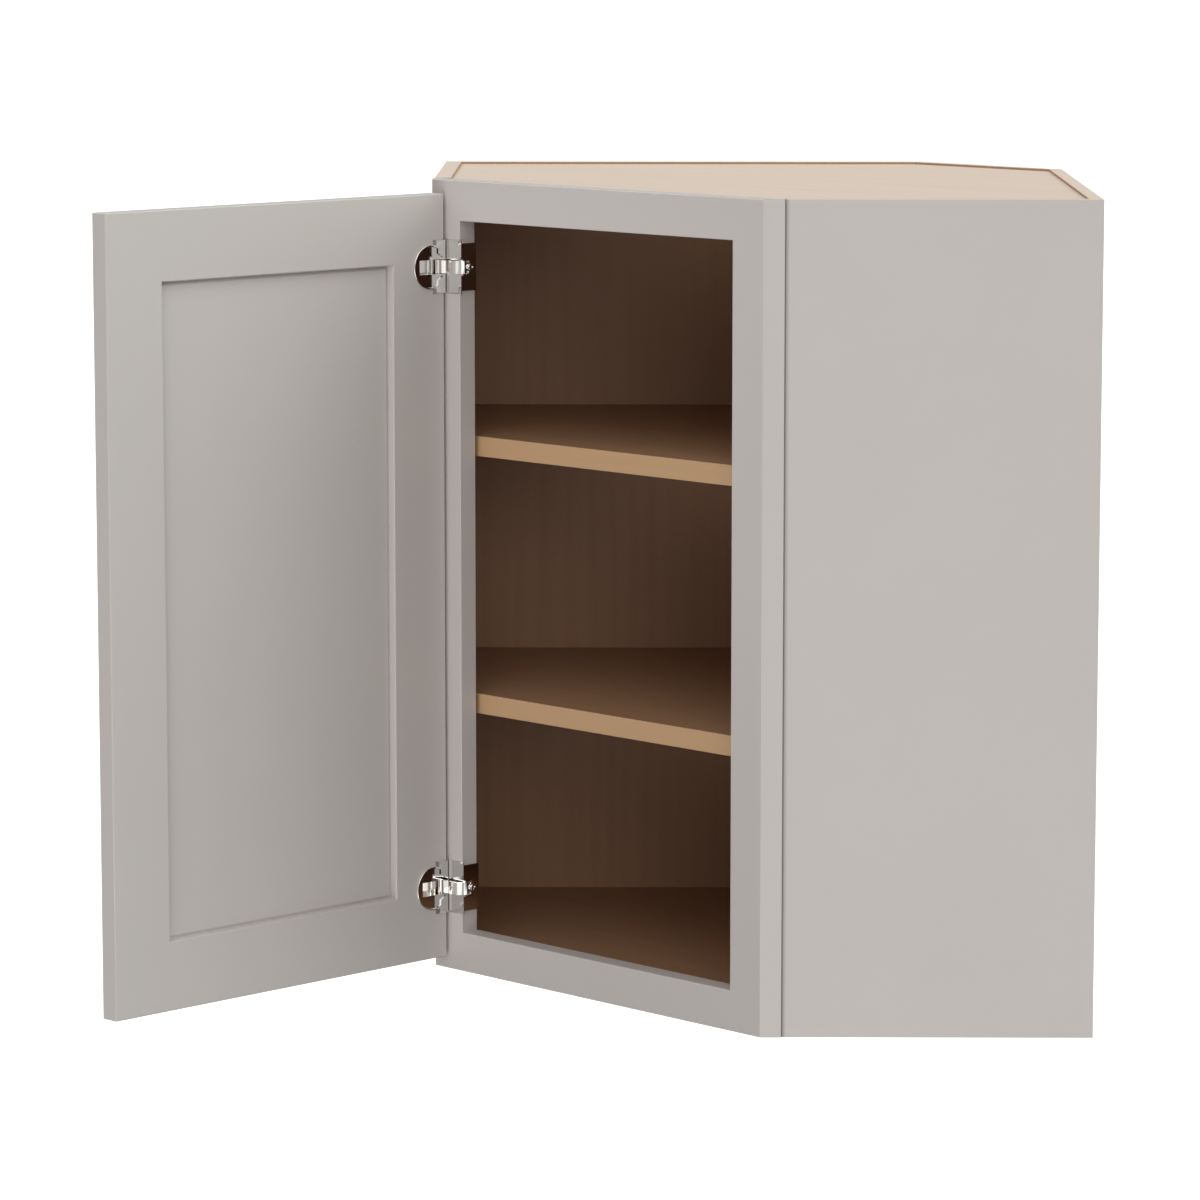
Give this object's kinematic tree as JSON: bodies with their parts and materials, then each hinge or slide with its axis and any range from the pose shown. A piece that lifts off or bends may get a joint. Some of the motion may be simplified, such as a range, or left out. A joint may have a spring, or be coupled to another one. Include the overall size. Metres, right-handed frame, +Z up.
{
  "type": "corner wall cabinet",
  "caption": "Diagonal corner wall cabinet with a face frame, an overlay shaker door on concealed hinges and loose shelves on pins.",
  "frame": {"origin": "the room corner at the height of the cabinet's underside: the wall planes meet there, and the cabinet's own back is cut off short of it", "axes": "+Z up; +Y into the rear wall, which is the plane Y = 0; +X into the right wall, which is the plane X = 0; the door's diagonal faces between -X and -Y"},
  "size_m": [0.9025, 0.6112, 0.762],
  "materials": {
    "painted_side": "satin warm-grey paint outside, clear-coated maple veneer inside",
    "painted_frame": "satin warm-grey paint",
    "painted_door": "satin warm-grey paint",
    "maple_plywood": "clear-coated maple veneer",
    "maple_edge_band": "clear-coated maple strip",
    "beech_dowel": "bare fluted beech",
    "pin_steel": "nickel-plated steel",
    "hinge_nickel": "bright nickel plate",
    "fastener_steel": "nickel-plated steel",
    "cup_dowel_plastic": "moulded nylon"
  },
  "bodies": {
    "cabinet": {"side_panel_left": "painted_side", "side_panel_right": "painted_side", "back_panel_rear": "maple_plywood", "back_panel_right": "maple_plywood", "back_corner_panel": "maple_plywood", "hanging_rail_rear": "maple_plywood", "hanging_rail_right": "maple_plywood", "top_panel": "maple_plywood", "bottom_panel": "maple_plywood", "panel_dowels": "beech_dowel", "frame_stile_left": "painted_frame", "frame_stile_right": "painted_frame", "frame_rail_top": "painted_frame", "frame_rail_bottom": "painted_frame", "frame_dowels": "beech_dowel", "shelf_lower_pins": "pin_steel", "shelf_upper_pins": "pin_steel", "hinge_plate_lower": "hinge_nickel", "hinge_plate_upper": "hinge_nickel", "hinge_arm_lower": "hinge_nickel", "hinge_arm_upper": "hinge_nickel", "hinge_screws": "fastener_steel"},
    "door": {"door_stile_hinge_side": "painted_door", "door_stile_free_side": "painted_door", "door_rail_top": "painted_door", "door_rail_bottom": "painted_door", "door_panel": "painted_door", "hinge_cup_lower": "hinge_nickel", "hinge_cup_upper": "hinge_nickel", "hinge_pins": "fastener_steel", "hinge_cup_dowels": "cup_dowel_plastic"},
    "upper_shelf": {"shelf_upper": "maple_plywood", "shelf_upper_edge_band": "maple_edge_band"},
    "lower_shelf": {"shelf_lower": "maple_plywood", "shelf_lower_edge_band": "maple_edge_band"}
  },
  "joints": [
    {"name": "door_swing", "type": "hinge", "parent": "cabinet", "child": "door", "pos_m": [-0.60469, -0.3196, 0.381], "axis": [0, 0, -1], "range_deg": [-90, 12]},
    {"name": "upper_shelf_lift", "type": "slide", "parent": "cabinet", "child": "upper_shelf", "axis": [0, 0, 1], "range_m": [0, 0.025]},
    {"name": "lower_shelf_lift", "type": "slide", "parent": "cabinet", "child": "lower_shelf", "axis": [0, 0, 1], "range_m": [0, 0.025]}
  ]
}
